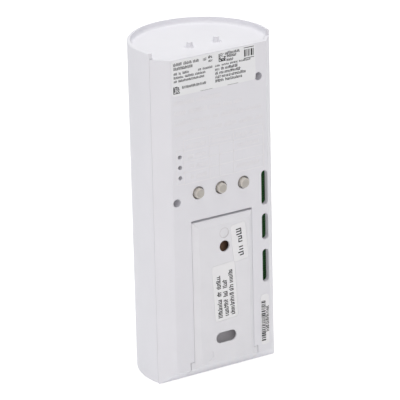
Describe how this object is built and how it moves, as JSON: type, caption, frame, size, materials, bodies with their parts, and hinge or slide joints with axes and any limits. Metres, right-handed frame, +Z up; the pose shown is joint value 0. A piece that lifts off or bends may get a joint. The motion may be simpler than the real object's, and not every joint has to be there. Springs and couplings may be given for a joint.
{
  "type": "occupancy sensor",
  "caption": "Slim wall-mount occupancy sensor: round-fronted plastic housing with a lens window, push buttons on its flat back, and a slide-on wall bracket.",
  "frame": {"origin": "centre of the bracket's upper screw hole, in the plane of the wall", "axes": "+Z up along the housing, +Y into the wall, so the lens looks along -Y; +X is to the left when the back is looked at"},
  "size_m": [0.046, 0.0347, 0.1107],
  "materials": {
    "housing_plastic": "fine moulded texture, white ABS",
    "bracket_plastic": "moulded white ABS",
    "lens_plastic": "milky polyethylene sheet",
    "button_plastic": "warm grey moulded plastic",
    "label_film": "white polyester film",
    "board_laminate": "green solder mask on glass laminate",
    "cell_wrap": "dark shrink film",
    "contact_steel": "nickel-plated spring steel",
    "can_steel": "drawn nickel-plated can",
    "chip_epoxy": "black moulded epoxy",
    "switch_plastic": "black moulded plastic",
    "indicator_resin": "clear epoxy on a white base",
    "screw_steel": "zinc-plated steel",
    "capacitor_can": "drawn aluminium can"
  },
  "bodies": {
    "wall_bracket": {"mounting_bracket": "bracket_plastic", "origin_label": "label_film", "date_label": "label_film"},
    "sensor_unit": {"rear_housing": "housing_plastic", "front_cover": "housing_plastic", "fresnel_lens": "lens_plastic", "lens_retainer": "housing_plastic", "circuit_board": "board_laminate", "battery": "cell_wrap", "positive_contact": "contact_steel", "negative_spring": "contact_steel", "motion_detector": "can_steel", "microcontroller": "chip_epoxy", "radio_chip": "chip_epoxy", "timing_crystal": "can_steel", "storage_capacitor": "capacitor_can", "antenna_wire": "contact_steel", "housing_screws": "screw_steel", "rating_label": "label_film", "serial_label": "label_film", "switch_left": "switch_plastic", "switch_centre": "switch_plastic", "switch_right": "switch_plastic", "status_led_upper": "indicator_resin", "status_led_middle": "indicator_resin", "status_led_lower": "indicator_resin"},
    "left_button": {"button_left": "button_plastic"},
    "centre_button": {"button_centre": "button_plastic"},
    "right_button": {"button_right": "button_plastic"}
  },
  "joints": [
    {"name": "unit_slide", "type": "slide", "parent": "wall_bracket", "child": "sensor_unit", "axis": [0, 0, 1], "range_m": [0, 0.047]},
    {"name": "left_button_press", "type": "slide", "parent": "sensor_unit", "child": "left_button", "axis": [0, -1, 0], "range_m": [0, 0.0005], "stiffness_N_per_m": 400, "springref_m": -0.001},
    {"name": "centre_button_press", "type": "slide", "parent": "sensor_unit", "child": "centre_button", "axis": [0, -1, 0], "range_m": [0, 0.0005], "stiffness_N_per_m": 400, "springref_m": -0.001},
    {"name": "right_button_press", "type": "slide", "parent": "sensor_unit", "child": "right_button", "axis": [0, -1, 0], "range_m": [0, 0.0005], "stiffness_N_per_m": 400, "springref_m": -0.001}
  ]
}
